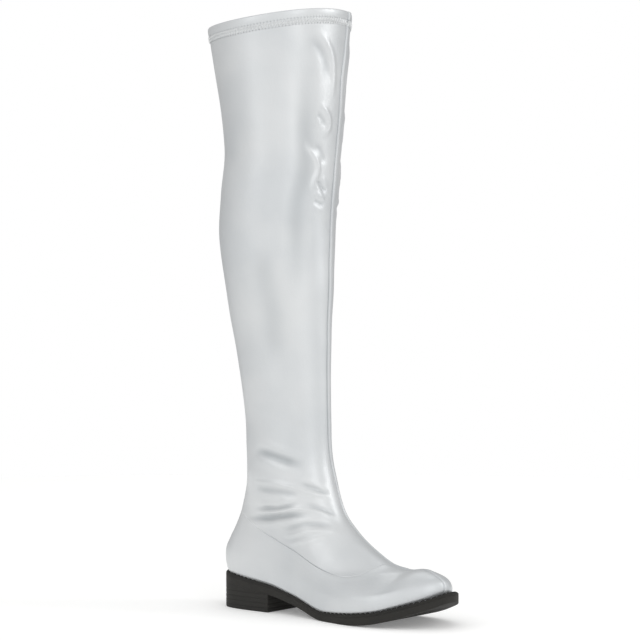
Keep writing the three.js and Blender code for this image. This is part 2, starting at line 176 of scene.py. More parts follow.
def soleTop(x):
    slim = curveThrough(soleLine[0], soleLine[3], np.asarray(x, float) / bootSizes["soleLength"])
    return soleBottom(x) + mix(bootSizes["soleThickness"], bootSizes["waistThickness"], slim)


def buildLoops():
    # Both tables as columns of millimetres, counted by place from the sole to the collar
    size = bootSizes
    back, front, backRise, frontRise, lateral, medial, foot, crown = footLoops
    legBack, legFront, centre, depth, width, egg, legCrown = legLoops
    seat, length = soleTop(0), size["soleLength"]
    zero = np.zeros_like
    join = np.concatenate
    legZ = [seat + mix(size["ankleHeight"], size["shaftHeight"], rise) for rise in (legBack, legFront)]
    return dict(
        backX=join([back * length, centre * length - depth * size["calfDepth"] / 2]),
        frontX=join([front * length, centre * length + depth * size["calfDepth"] / 2]),
        backZ=join([soleTop(back * length) + backRise * size["ankleHeight"], legZ[0]]),
        frontZ=join([soleTop(front * length) + frontRise * size["ankleHeight"], legZ[1]]),
        lateral=join([lateral * size["ballWidth"], width * size["calfWidth"] / 2]),
        medial=join([medial * size["ballWidth"], width * size["calfWidth"] / 2]),
        foot=join([foot, zero(egg)]),
        crown=join([crown, legCrown]) * size["ankleHeight"],
        crownFrom=join([zero(foot) + size["crownStart"], zero(egg) - size["crownBlend"]]),
        egg=join([zero(foot), egg]),
    )


loops = buildLoops()
collarPlace = len(loops["foot"]) - 1.0


def loopValue(name, place):
    return curveThrough(np.arange(len(loops[name])), loops[name], place)


def faceAt(angle, place):
    # Point of the upper's outer face. Angle is 0 at the back, pi at the front line by way of the outer
    # side, and 2 pi at the back again. Each loop is an egg whose half width follows the foot's outline,
    # draped on the sole's line near the sole, with sides that hang below the line from back to front.
    along = (1 - np.cos(angle)) / 2
    outer = np.sin(angle) >= 0
    outline = np.where(
        outer,
        curveThrough(footOutline[0], footOutline[1], along),
        curveThrough(footOutline[0], footOutline[2], along),
    )
    foot = loopValue("foot", place)
    oval = 1 + loopValue("egg", place) * np.cos(angle)
    side = np.where(outer, loopValue("lateral", place), loopValue("medial", place))
    half = side * np.sin(angle) * mix(oval, outline, foot)
    backX, frontX = loopValue("backX", place), loopValue("frontX", place)
    x = mix(backX, frontX, along)
    sag = foot * (soleTop(x) - mix(soleTop(backX), soleTop(frontX), along))
    toward = smooth((along - loopValue("crownFrom", place)) / bootSizes["crownBlend"])
    hang = loopValue("crown", place) * np.sin(angle) ** 2 * toward
    z = mix(loopValue("backZ", place), loopValue("frontZ", place), along) + sag - hang
    return np.stack([x, -half, z], axis=-1)


def outwardAt(angle, place):
    # Unit normal of the outer face: its slope round the leg crossed with its slope up the leg
    step = 1e-3
    around = faceAt(angle + step, place) - faceAt(angle - step, place)
    up = faceAt(angle, np.minimum(place + step, collarPlace)) - faceAt(angle, np.maximum(place - step, 0))
    normal = np.cross(around, up)
    return normal / np.linalg.norm(normal, axis=-1, keepdims=True)


def seamPlace(angle):
    return curveThrough(vampSeam[0], vampSeam[1], np.arccos(np.cos(angle)) / math.pi)


def placeAtHeight(angle, height):
    # The place on the line up the boot at each angle where it reaches a height
    places = np.linspace(0, collarPlace, 1200)
    heights = faceAt(np.asarray(angle)[:, None], places[None, :])[..., 2]
    below = np.clip((heights < np.asarray(height)[:, None]).sum(axis=1), 1, len(places) - 1)
    row = np.arange(len(below))
    low, high = heights[row, below - 1], heights[row, below]
    return places[below - 1] + (np.asarray(height) - low) / (high - low) * (places[1] - places[0])


# ---------------------------------------------------------------- creases
# Each crease runs through points (around, height above the floor). Around is 0 at the back, 1 at the
# front line and on over the inner side. Width and depth are in mm, and a ridge has a negative depth.
# Above and below are the lips beside it, as shares of its depth.
creases = [
    # ankle, from the shin down to the heel
    dict(line=[(0.36, 157), (0.45, 157), (0.59, 152), (0.69, 148), (0.77, 145)], width=4.2, depth=1.7, above=0.2, below=0.5),
    dict(line=[(0.33, 127), (0.52, 128), (0.67, 124), (0.78, 119), (0.94, 115), (0.99, 110)], width=1.8, depth=-1.51, above=0, below=0),
    dict(line=[(0.35, 121), (0.54, 120), (0.70, 117)], width=3.0, depth=1.0, above=0, below=0.2),
    dict(line=[(0.70, 129), (0.81, 124), (0.88, 120), (0.95, 117)], width=2.3, depth=1.1, above=0.3, below=0),
    dict(line=[(0.29, 100), (0.40, 102), (0.49, 103), (0.59, 106), (0.68, 110)], width=2.4, depth=1.3, above=0.4, below=0),
    dict(line=[(0.27, 96), (0.38, 98), (0.48, 100), (0.65, 104), (0.78, 102), (0.87, 98), (0.95, 92)], width=1.7, depth=-1.46, above=0, below=0),
    dict(line=[(0.20, 89), (0.29, 91), (0.38, 92), (0.49, 95), (0.61, 98), (0.74, 98)], width=2.8, depth=1.75, above=0, below=0.35),
    dict(line=[(0.71, 109), (0.77, 106), (0.86, 102), (0.94, 98)], width=2.2, depth=1.0, above=0, below=0),
    dict(line=[(0.44, 82), (0.57, 87), (0.67, 90), (0.86, 89)], width=2.4, depth=0.95, above=0.3, below=0),
    dict(line=[(0.43, 75), (0.56, 80), (0.65, 83), (0.73, 84), (0.84, 84)], width=1.9, depth=-1.12, above=0, below=0),
    dict(line=[(0.40, 67), (0.53, 72), (0.62, 74), (0.76, 80)], width=2.1, depth=-0.90, above=0.3, below=0),
    # thigh and knee, beside the front seam
    dict(line=[(0.88, 567), (0.94, 556), (0.985, 541), (1.0, 522), (1.0, 500)], width=3.4, depth=-1.31, above=0, below=0),
    dict(line=[(0.84, 560), (0.90, 548), (0.94, 533), (0.955, 515)], width=5.0, depth=0.91, above=0, below=0),
    dict(line=[(0.90, 497), (0.955, 489), (0.985, 480), (0.98, 471), (0.93, 464)], width=2.7, depth=-1.46, above=0, below=0),
    dict(line=[(0.90, 487), (0.94, 480), (0.95, 473)], width=3.2, depth=0.91, above=0, below=0),
    dict(line=[(0.84, 462), (0.86, 452), (0.91, 442), (0.925, 432), (0.90, 420), (0.88, 410)], width=2.4, depth=-1.46, above=0, below=0),
    dict(line=[(0.90, 458), (0.945, 448), (0.965, 437)], width=3.4, depth=0.91, above=0, below=0),
    dict(line=[(0.93, 424), (0.955, 416), (0.99, 411)], width=2.6, depth=1.17, above=0.3, below=0.4),
    dict(line=[(0.90, 411), (0.945, 407), (0.985, 403)], width=1.8, depth=-1.16, above=0, below=0),
    dict(line=[(0.90, 403), (0.94, 400), (0.98, 398)], width=2.6, depth=0.91, above=0, below=0.3),
    # long shallow hollows down the outer side of the shin and the thigh
    dict(line=[(0.83, 545), (0.84, 479), (0.85, 432), (0.81, 400), (0.80, 360), (0.78, 300)], width=9.0, depth=0.91, above=0.3, below=0.3),
    dict(line=[(0.60, 360), (0.62, 300), (0.62, 240)], width=12.0, depth=0.65, above=0, below=0),
]
# The inner side has the same creases a little lower and softer, mirrored about the front seam
innerSide = dict(shift=5.0, share=0.8, middle=1.07)


def creaseLine(points, count):
    # A smooth line through the points on the boot: positions, the direction across it, and a taper
    around, height = np.array(points, float).T
    steps = np.hypot(np.diff(around) * 180, np.diff(height))
    keys = np.concatenate([[0], np.cumsum(steps)])
    share = np.linspace(0, 1, count)
    angle = curveThrough(keys, around, share * keys[-1]) * math.pi
    place = placeAtHeight(angle, curveThrough(keys, height, share * keys[-1]))
    line = faceAt(angle, place)
    ahead = np.gradient(line, axis=0)
    across = np.cross(outwardAt(angle, place), ahead)
    across /= np.linalg.norm(across, axis=1, keepdims=True)
    across *= np.sign(across[:, 2:] + 1e-9)  # always the upper side
    return line, across, smooth(share * 3.2) * smooth((1 - share) * 3.2)


def allCreases():
    made = []
    for crease in creases:
        made.append((crease, creaseLine(crease["line"], 90), 1.0))
        other = [(2 * innerSide["middle"] - around, height - innerSide["shift"]) for around, height in crease["line"]]
        made.append((crease, creaseLine(other, 90), innerSide["share"]))
    return made


creaseLines = allCreases()


def creaseHeight(points):
    # Height of the creases at points of the outer face. Across a crease it is a bell of its depth, with
    # a smaller bell of the other sign as a lip on each side, and along it the taper fades both ends.
    flat = points.reshape(-1, 3)
    height = np.zeros(len(flat))
    for crease, (line, across, taper), share in creaseLines:
        width, depth = crease["width"], crease["depth"] * share
        margin = width * 4.5
        low, high = line.min(axis=0) - margin, line.max(axis=0) + margin
        near = np.flatnonzero(((flat > low) & (flat < high)).all(axis=1))
        if len(near) == 0:
            continue
        spot = flat[near]
        gaps = (spot ** 2).sum(axis=1)[:, None] - 2 * spot @ line.T + (line ** 2).sum(axis=1)[None]
        nearest = gaps.argmin(axis=1)
        offset = spot - line[nearest]
        side = (offset * across[nearest]).sum(axis=1)
        beyond = np.sqrt(np.maximum((offset ** 2).sum(axis=1) - side ** 2, 0))
        shape = (
            -bell(side, width) + crease["above"] * bell(side - 2 * width, width)
            + crease["below"] * bell(side + 2 * width, width)
        )
        height[near] += depth * shape * taper[nearest] * bell(beyond, 2 * width)
    return height.reshape(points.shape[:-1])


def softUnevenness(points):
    # Slow ups and downs of stretched cloth: a few waves of 40 to 110 mm in fixed directions
    waves = [(0.09, 0.02, 0.03, 0.0, 0.16), (-0.04, 0.07, 0.05, 1.3, 0.13), (0.02, 0.05, 0.11, 2.1, 0.11),
             (0.06, -0.05, 0.07, 4.0, 0.10), (-0.03, -0.02, 0.14, 5.2, 0.06)]
    return sum(
        tall * np.sin(points[..., 0] * a + points[..., 1] * b + points[..., 2] * c + start)
        for a, b, c, start, tall in waves
    )


print("creases laid:", len(creaseLines))

# ---------------------------------------------------------------- meshes


def makeObject(name, mesh):
    piece = bpy.data.objects.new(name, mesh)
    bpy.context.scene.collection.objects.link(piece)
    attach(piece, "root")
    return piece


def gridMesh(name, points, closeAround=True, closeAcross=True, coords=None, marks=None, caps=()):
    # A surface on a grid of rows and columns, each four neighbours a face. Rows close round in a loop,
    # and the last row joins the first where the wall closes on itself. Coords are UVs in metres and
    # marks a number for each point. Caps close a row: a grid of lines across it, pairing its two halves.
    rows, columns = points.shape[:2]
    row = np.arange(rows if closeAcross else rows - 1)[:, None]
    column = np.arange(columns if closeAround else columns - 1)[None, :]
    nextRow, nextColumn = (row + 1) % rows, (column + 1) % columns
    faces = np.stack([
        row * columns + column, row * columns + nextColumn,
        nextRow * columns + nextColumn, nextRow * columns + column,
    ], axis=-1).reshape(-1, 4)
    vertices = points.reshape(-1, 3)
    for cap in caps:
        inner, ring, turned = cap
        half, count = columns // 2, inner.shape[1]
        start = len(vertices)
        vertices = np.concatenate([vertices, inner.reshape(-1, 3)])
        ids = np.zeros((half - 1, count + 2), int)
        ids[:, 0] = ring * columns + np.arange(1, half)
        ids[:, -1] = ring * columns + columns - np.arange(1, half)
        ids[:, 1:-1] = start + np.arange((half - 1) * count).reshape(half - 1, count)
        quads = np.stack([ids[:-1, :-1], ids[:-1, 1:], ids[1:, 1:], ids[1:, :-1]], axis=-1).reshape(-1, 4)
        first, last = ring * columns, ring * columns + half
        tips = [np.stack([np.full(count + 1, first), ids[0, 1:], ids[0, :-1]], axis=-1),
                np.stack([np.full(count + 1, last), ids[-1, :-1], ids[-1, 1:]], axis=-1)]
        tips = np.concatenate(tips)
        tips = np.concatenate([tips, tips[:, :1]], axis=1)
        both = np.concatenate([quads, tips])
        faces = np.concatenate([faces, both[:, ::-1] if turned else both])
    return meshFrom(name, vertices, faces, coords, marks)


def meshFrom(name, vertices, faces, coords=None, marks=None):
    # Puts the arrays into a mesh in metres. A face whose last corner repeats its first is a triangle.
    size = np.where(faces[:, 0] == faces[:, 3], 3, 4)
    corners = faces[np.arange(4)[None, :] < size[:, None]]
    mesh = bpy.data.meshes.new(name)
    place = (vertices - np.array([bootSizes["heelLength"] / 2, 0, 0])) / 1000
    mesh.vertices.add(len(place))
    mesh.vertices.foreach_set("co", place.astype(np.float32).ravel())
    mesh.loops.add(len(corners))
    mesh.loops.foreach_set("vertex_index", corners.astype(np.int32))
    mesh.polygons.add(len(faces))
    mesh.polygons.foreach_set("loop_start", np.concatenate([[0], np.cumsum(size)[:-1]]).astype(np.int32))
    mesh.polygons.foreach_set("use_smooth", np.ones(len(faces), bool))
    if coords is not None:
        layer = mesh.uv_layers.new(name="cloth")
        layer.data.foreach_set("uv", coords.astype(np.float32).ravel())
    if marks is not None:
        mark = mesh.attributes.new("crease", "FLOAT", "POINT")
        mark.data.foreach_set("value", marks.astype(np.float32).ravel())
    mesh.update(calc_edges=True)
    mesh.validate()
    return mesh


def clothCoords(rows, columns, u, v):
    # UVs of each face's four corners, u along the columns and v along the rows, one more of each
    u = np.broadcast_to(u, (rows + 1, columns + 1))
    v = np.broadcast_to(v, (rows + 1, columns + 1))
    both = np.stack([u, v], axis=-1)
    return np.stack([both[:-1, :-1], both[:-1, 1:], both[1:, 1:], both[1:, :-1]], axis=2)


def colour(text):
    # sRGB hex to linear, as Blender wants it
    parts = [int(text[i:i + 2], 16) / 255 for i in (1, 3, 5)]
    return tuple(p / 12.92 if p <= 0.04045 else ((p + 0.055) / 1.055) ** 2.4 for p in parts) + (1.0,)


def addNode(tree, kind, settings=(), links=()):
    # A node with its settings, by socket name or by property, and links into its sockets
    node = tree.nodes.new(kind)
    for name, value in dict(settings).items():
        if name in node.inputs and not name.islower():
            node.inputs[name].default_value = value
        else:
            setattr(node, name, value)
    for name, source in dict(links).items():
        tree.links.new(source, node.inputs[name])
    return node


def newMaterial(name):
    material = bpy.data.materials.new(name)
    material.use_nodes = True
    material.node_tree.nodes.clear()
    return material, material.node_tree


def finishMaterial(tree, surface):
    addNode(tree, "ShaderNodeOutputMaterial", links={"Surface": surface.outputs["BSDF"]})


# Pearl silver stretch faux leather: knit cloth with a thin pigmented polyurethane film, rolled smooth.
# The mica in the film gives a metallic sheen, softened by a fine pebble grain.
# crease is the colour of painted shade. It is mixed in where the crease attribute is low: in crease troughs, the
# grooves beside the seams and the needle holes.
pearlFilm = dict(light="#d5d7d8", shade="#cbced0", crease="#9ca1a4", metallic=0.6, roughness=0.42,
                 grain=1.3, mottle=9.0, coat=0.06, coatRoughness=0.35)


def makePearl(look):
    material, tree = newMaterial("pearlSilverFauxLeather")
    where = addNode(tree, "ShaderNodeTexCoord").outputs["Object"]
    # the real grain is about 0.4 mm; it is drawn 1.3 mm wide so that it shows at a millimetre a pixel
    grain = addNode(tree, "ShaderNodeTexVoronoi", {"feature": "SMOOTH_F1", "Scale": 1000 / look["grain"], "Smoothness": 0.7},
                    {"Vector": where})
    mottle = addNode(tree, "ShaderNodeTexNoise", {"Scale": 1000 / look["mottle"], "Detail": 4.0, "Roughness": 0.6},
                     {"Vector": where})
    broad = addNode(tree, "ShaderNodeTexNoise", {"Scale": 14.0, "Detail": 2.0}, {"Vector": where})
    tone = addNode(tree, "ShaderNodeMapRange", {"From Min": 0.35, "From Max": 0.65}, {"Value": broad.outputs["Fac"]})
    base = addNode(tree, "ShaderNodeMix", {"data_type": "RGBA"}, {"Factor": tone.outputs["Result"]})
    base.inputs[6].default_value = colour(look["light"])
    base.inputs[7].default_value = colour(look["shade"])
    # Painted shade: the base is mixed towards the crease colour where the crease attribute falls below 0.1, fully at
    # -2.4. The attribute is low in crease troughs, seam grooves and needle holes.
    mark = addNode(tree, "ShaderNodeAttribute", {"attribute_name": "crease"})
    deep = addNode(tree, "ShaderNodeMapRange", {"From Min": 0.1, "From Max": -2.4}, {"Value": mark.outputs["Fac"]})
    creaseShadedBase = addNode(tree, "ShaderNodeMix", {"data_type": "RGBA"}, {"Factor": deep.outputs["Result"]})
    creaseShadedBase.inputs[7].default_value = colour(look["crease"])
    tree.links.new(base.outputs[2], creaseShadedBase.inputs[6])
    gloss = addNode(tree, "ShaderNodeMapRange", {"From Min": 0.3, "From Max": 0.7, "To Min": look["roughness"] - 0.04,
                                                 "To Max": look["roughness"] + 0.05}, {"Value": mottle.outputs["Fac"]})
    fine = addNode(tree, "ShaderNodeBump", {"Strength": 0.22, "Distance": 0.0002}, {"Height": grain.outputs["Distance"]})
    soft = addNode(tree, "ShaderNodeBump", {"Strength": 0.18, "Distance": 0.0006},
                   {"Height": mottle.outputs["Fac"], "Normal": fine.outputs["Normal"]})
    film = addNode(tree, "ShaderNodeBsdfPrincipled", {
        "Metallic": look["metallic"], "Coat Weight": look["coat"], "Coat Roughness": look["coatRoughness"],
    }, {"Base Color": creaseShadedBase.outputs[2], "Roughness": gloss.outputs["Result"], "Normal": soft.outputs["Normal"]})
    finishMaterial(tree, film)
    return material


# Knit lining: the bare polyester back of the stretch cloth, fine ribs about 1 mm apart, matt.
knitLining = dict(yarn="#c9c8c4", hollow="#8f8e8a", rib=1.1, roughness=0.9)


def makeLining(look):
    material, tree = newMaterial("knitPolyesterLining")
    where = addNode(tree, "ShaderNodeTexCoord").outputs["UV"]
    ribs = addNode(tree, "ShaderNodeTexWave", {"wave_type": "BANDS", "bands_direction": "X", "Scale": 1000 / look["rib"] / 20 * math.pi,
                                               "Distortion": 0.6, "Detail": 1.0}, {"Vector": where})
    loopsOfYarn = addNode(tree, "ShaderNodeTexWave", {"wave_type": "BANDS", "bands_direction": "Y", "Scale": 1000 / look["rib"] / 20 * math.pi,
                                                      "Distortion": 1.2}, {"Vector": where})
    height = addNode(tree, "ShaderNodeMath", {"operation": "MULTIPLY"})
    tree.links.new(ribs.outputs["Fac"], height.inputs[0])
    tree.links.new(loopsOfYarn.outputs["Fac"], height.inputs[1])
    base = addNode(tree, "ShaderNodeMix", {"data_type": "RGBA"}, {"Factor": height.outputs[0]})
    base.inputs[6].default_value = colour(look["hollow"])
    base.inputs[7].default_value = colour(look["yarn"])
    bump = addNode(tree, "ShaderNodeBump", {"Strength": 0.5, "Distance": 0.0003}, {"Height": height.outputs[0]})
    cloth = addNode(tree, "ShaderNodeBsdfPrincipled", {"Roughness": look["roughness"], "Sheen Weight": 0.2},
                    {"Base Color": base.outputs[2], "Normal": bump.outputs["Normal"]})
    finishMaterial(tree, cloth)
    return material


# Moulded rubber of the sole: matt, a fine sand-blasted mould surface, scuffed a little lighter.
mouldedRubber = dict(dark="#1a1916", light="#211f1b", grit=0.9, roughness=0.72)


def makeRubber(name, look, layered=False):
    material, tree = newMaterial(name)
    where = addNode(tree, "ShaderNodeTexCoord").outputs["Object"]
    if layered:
        # stacked leather look: the pattern is pressed flat so that it runs in level layers
        where = addNode(tree, "ShaderNodeMapping", {"Scale": (0.06, 0.06, 1.0)}, {"Vector": where}).outputs["Vector"]
    grit = addNode(tree, "ShaderNodeTexNoise", {"Scale": 1000 / look["grit"], "Detail": 3.0}, {"Vector": where})
    scuff = addNode(tree, "ShaderNodeTexNoise", {"Scale": 60.0, "Detail": 5.0, "Roughness": 0.65}, {"Vector": where})
    tone = addNode(tree, "ShaderNodeMapRange", {"From Min": 0.35, "From Max": 0.7}, {"Value": scuff.outputs["Fac"]})
    base = addNode(tree, "ShaderNodeMix", {"data_type": "RGBA"}, {"Factor": tone.outputs["Result"]})
    base.inputs[6].default_value = colour(look["dark"])
    base.inputs[7].default_value = colour(look["light"])
    bump = addNode(tree, "ShaderNodeBump", {"Strength": 0.35, "Distance": 0.0003}, {"Height": grit.outputs["Fac"]})
    rubber = addNode(tree, "ShaderNodeBsdfPrincipled", {"Roughness": look["roughness"], "IOR": 1.46},
                     {"Base Color": base.outputs[2], "Normal": bump.outputs["Normal"]})
    finishMaterial(tree, rubber)
    return material


# Polyester sewing thread, twisted, a little shinier and paler than the film that it is sewn through.
sewingThread = dict(base="#e2e3e3", roughness=0.45, twist=0.8)


def makeThread(look):
    material, tree = newMaterial("twistedPolyesterThread")
    where = addNode(tree, "ShaderNodeTexCoord").outputs["UV"]
    ply = addNode(tree, "ShaderNodeTexWave", {"wave_type": "BANDS", "bands_direction": "DIAGONAL",
                                              "Scale": 1000 / look["twist"] / 20 * math.pi}, {"Vector": where})
    base = addNode(tree, "ShaderNodeMix", {"data_type": "RGBA"}, {"Factor": ply.outputs["Fac"]})
    base.inputs[6].default_value = colour("#c9cbcc")
    base.inputs[7].default_value = colour(look["base"])
    bump = addNode(tree, "ShaderNodeBump", {"Strength": 0.4, "Distance": 0.0001}, {"Height": ply.outputs["Fac"]})
    thread = addNode(tree, "ShaderNodeBsdfPrincipled", {"Roughness": look["roughness"], "Sheen Weight": 0.3},
                     {"Base Color": base.outputs[2], "Normal": bump.outputs["Normal"]})
    finishMaterial(tree, thread)
    return material


pearl = makePearl(pearlFilm)
lining = makeLining(knitLining)
rubber = makeRubber("mouldedRubberSole", mouldedRubber)
weltRubber = makeRubber("mouldedRubberWelt", dict(mouldedRubber, dark="#171614", light="#1f1d1a", roughness=0.8))
heelStack = makeRubber("stackedHeelGrain", dict(mouldedRubber, dark="#181714", light="#23211d", grit=1.2), layered=True)
topLift = makeRubber("hardRubberTopPiece", dict(mouldedRubber, dark="#161513", light="#1f1d1a"))
thread = makeThread(sewingThread)
print("materials made")

# ---------------------------------------------------------------- the upper
# The raised front seam: half width of its crest, its slope, its rise and the groove beside it, in mm
# The last number of frontSeam and of backJoint is the strength of the painted shade in their grooves
frontSeam = dict(crest=2.3, slope=0.9, rise=0.95, groove=0.6, grooveWidth=0.6, toeShare=0.6,
                 fold=1.9, foldWidth=14.0, grooveShade=2.2)
seamColumns = np.array([0.0, 0.8, 1.5, 2.0, 2.4, 2.8, 3.1, 3.4, 3.8, 4.3, 5.0, 6.2])
# The plain joint at the back is a fine groove
backJoint = dict(depth=0.4, width=0.4, grooveShade=1.0)
backColumns = np.array([0.0, 0.4, 0.8, 1.5])
# The V where foot and shaft are sewn together: its width, and its depth along around
footSeam = dict(width=0.75, around=[0, 0.25, 0.36, 0.6, 0.7, 0.85, 1], depth=[0.2, 0.3, 0.8, 0.75, 0.4, 0.22, 0.25])
# The soft dip across the top of the foot, just behind the toe: along the sole, width and depth in mm
vampDip = dict(at=218.0, width=11.0, depth=2.4)
shaftPiece = dict(columnsOuter=110, columnsInner=80, rows=370, innerRows=50)
footPiece = dict(columnsOuter=150, columnsInner=130, rows=96, innerRows=20, tuck=0.9)


lengthPlaces = np.linspace(0, collarPlace, 600)
lengthLine = faceAt(np.full(600, 2.2), lengthPlaces)
lengthUp = np.concatenate([[0], np.cumsum(np.linalg.norm(np.diff(lengthLine, axis=0), axis=1))])


def seamMiddle(place):
    return math.pi * (1 + curveThrough(seamTurn[0], seamTurn[1], place))


def aroundRun(angle, place):
    # Millimetres of face that a turn of one radian covers
    step = 1e-3
    return np.linalg.norm(faceAt(angle + step, place) - faceAt(angle - step, place), axis=-1) / (2 * step)


seamRuns = aroundRun(seamMiddle(lengthPlaces), lengthPlaces)
backRuns = aroundRun(np.full(600, 0.002), lengthPlaces)


def seamRun(place):
    return np.interp(place, lengthPlaces, seamRuns)


def backRun(place):
    return np.interp(place, lengthPlaces, backRuns)


def columnAngles(outer, inner, place):
    # Angles of each row's columns: a few close ones at the back joint, then evenly spread towards the
    # seam, closer near it, then the seam's own columns at fixed distances from its middle, and the
    # same over the inner side
    reach = seamColumns[None, :] / seamRun(place)[:, None]
    joint = backColumns[None, :] / backRun(place)[:, None]
    middle = seamMiddle(place)[:, None]
    before, after = middle - reach[:, ::-1], middle + reach[:, 1:]
    shareOuter = 1 - (1 - np.linspace(0, 1, outer)[:-1]) ** 1.35
    shareInner = 1 - (1 - np.linspace(0, 1, inner)[1:]) ** 1.15
    first = mix(joint[:, -1:], before[:, :1], shareOuter[None, :])
    last = mix(after[:, -1:], 2 * math.pi - joint[:, -1:], shareInner[None, :])
    return np.concatenate([joint[:, :-1], first, before, after, last, 2 * math.pi - joint[:, -2:0:-1]], axis=1)


def rowsBetween(low, high, share, angle):
    # Places between two lines, evenly spaced by the length up the boot's side
    lowUp = np.interp(low(angle), lengthPlaces, lengthUp)
    highUp = np.interp(high(angle), lengthPlaces, lengthUp)
    return np.interp(mix(lowUp, highUp, share), lengthUp, lengthPlaces)


def placeOnSeam(low, high, share):
    # Where rows between two lines cross the front seam
    place = rowsBetween(low, high, share, np.full_like(share, math.pi))
    for _ in range(3):
        place = rowsBetween(low, high, share, seamMiddle(place))
    return place


def seamDistance(angle, place):
    # Distance up the face from the foot seam, square to it, in mm
    step = 0.01
    at = seamPlace(angle)
    rise = np.linalg.norm(faceAt(angle, at + step) - faceAt(angle, at - step), axis=-1)
    run = np.linalg.norm(faceAt(angle + step, at) - faceAt(angle - step, at), axis=-1)
    climb = (seamPlace(angle + step) - seamPlace(angle - step)) * rise / (2 * step * run)
    return (place - at) * rise / (2 * step * np.hypot(1, climb))


def ridgeGroove(distance):
    # 1 along the bottom of the groove on each side of the front seam
    seam = frontSeam
    return bell(distance - seam["crest"] - seam["slope"] - 0.3, seam["grooveWidth"])


def backGroove(angle, place):
    return bell(np.arccos(np.cos(angle)) * backRun(place), backJoint["width"])


def ridgeShadow(angle, place):
    # Painted shade in the grooves beside the front seam and along the back joint, less over the toe; it darkens the
    # film through the crease attribute
    distance = np.abs(angle - seamMiddle(place)) * seamRun(place)
    front = frontSeam["grooveShade"] * ridgeGroove(distance) * mix(0.35, 1, smooth((place - 6) / 4))
    return front + backJoint["grooveShade"] * backGroove(angle, place)


def frontRidge(angle, place):
    # The front seam across its distance from its middle: a crest with soft shoulders and a groove on
    # each side, lower over the toe. Up the leg the cloth folds along it: a tent that falls away with
    # the distance
    distance = np.abs(angle - seamMiddle(place)) * seamRun(place)
    seam = frontSeam
    crest = smooth((seam["crest"] + seam["slope"] - distance) / seam["slope"])
    groove = ridgeGroove(distance)
    height = seam["rise"] * crest + 0.12 * bell(distance, 1.5) - seam["groove"] * groove
    fold = seam["fold"] * np.exp(-np.sqrt(distance ** 2 + 4) / seam["foldWidth"]) * smooth((place - 9) / 3)
    height = height * mix(seam["toeShare"], 1, smooth((place - 1) / 5)) + fold
    return height - backJoint["depth"] * backGroove(angle, place)


def clothFace(angle, place):
    # The dressed outer face: the plain face moved out or in by seam, creases and unevenness
    base = faceAt(angle, place)
    outward = outwardAt(angle, place)
    crease = creaseHeight(base)
    dip = vampDip["depth"] * bell(base[..., 0] - vampDip["at"], vampDip["width"]) * smooth(outward[..., 2] * 2.4 - 1.2)
    fold = crease - dip
    around = np.arccos(np.cos(angle)) / math.pi
    foot = -np.interp(around, footSeam["around"], footSeam["depth"]) * bell(seamDistance(angle, place), footSeam["width"])
    lift = frontRidge(angle, place) + fold + foot + softUnevenness(base)
    # the last value is the crease attribute: crease height less the seam grooves, which darkens crease troughs and
    # grooves as painted shade
    return base, outward, lift, fold, crease - ridgeShadow(angle, place)


def upperShares(rows, low=0.0, high=1.0):
    # Shares of the way up with a few close rows at each end, where the edges roll in
    ends = np.array([0.0, 0.00005, 0.0007, 0.002, 0.0038]) if rows > 200 else np.array([0.0, 0.004, 0.009, 0.016, 0.026])
    middle = np.linspace(ends[-1], 1 - ends[-1], rows - 2 * len(ends) + 2)
    return np.concatenate([ends[:-1], middle, 1 - ends[:-1][::-1]])


def upperTube(low, high, spec, edgeLow=None):
    # Outer rows from the low line to the high one, then the lining's rows back down
    wall = bootSizes["wall"]
    share = upperShares(spec["rows"])
    back = np.linspace(1, 0, spec["innerRows"])
    angle = columnAngles(spec["columnsOuter"], spec["columnsInner"], placeOnSeam(low, high, share))
    place = rowsBetween(low, high, share[:, None], angle)
    base, outward, lift, fold, mark = clothFace(angle, place)
    if edgeLow is not None:
        base, lift = edgeLow(base, lift, share)
    outer = base + outward * lift[..., None]
    innerAngle = columnAngles(spec["columnsOuter"], spec["columnsInner"], placeOnSeam(low, high, back))
    innerPlace = rowsBetween(low, high, back[:, None], innerAngle)
    innerBase = faceAt(innerAngle, innerPlace)
    # the lining has fewer rows, so each passes under the deepest fold within a row of it
    innerFold = np.array([np.minimum(fold[np.abs(share - at) < 1.2 / spec["innerRows"]].min(axis=0), 0) for at in back])
    inner = innerBase + outwardAt(innerAngle, innerPlace) * (innerFold - wall)[..., None]
    points = np.concatenate([outer, inner])
    marks = np.concatenate([mark, innerFold])
    columns = points.shape[1]
    u = np.linspace(0, 0.4, columns + 1)[None, :]
    v = np.concatenate([share, back, share[:1]])[:, None] * 0.5
    coords = clothCoords(len(points), columns, u, v)
    return points, coords, marks, len(outer)


def dressUpper(name, made, *nodes):
    points, coords, marks, outerRows = made
    piece = makeObject(name, gridMesh(name, points, coords=coords, marks=marks))
    piece.data.materials.append(pearl)
    piece.data.materials.append(lining)
    rows = np.repeat(np.arange(points.shape[0]), points.shape[1])
    piece.data.polygons.foreach_set("material_index", (rows >= outerRows).astype(np.int32))
    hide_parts(*nodes)
    return piece


def placeBelowRim(angle, below):
    # The place at a height below the rim, found by halving the stretch between the last two loops
    angle, below = np.broadcast_arrays(np.asarray(angle, float), below)
    wanted = faceAt(angle, np.full(angle.shape, collarPlace))[..., 2] - below
    low, high = np.full(angle.shape, collarPlace - 1), np.full(angle.shape, collarPlace)
    for _ in range(16):
        middle = (low + high) / 2
        under = faceAt(angle, middle)[..., 2] < wanted
        low, high = np.where(under, middle, low), np.where(under, high, middle)
    return (low + high) / 2


def bandPlace(angle):
    return np.interp(angle, bandAngles, bandPlaces)


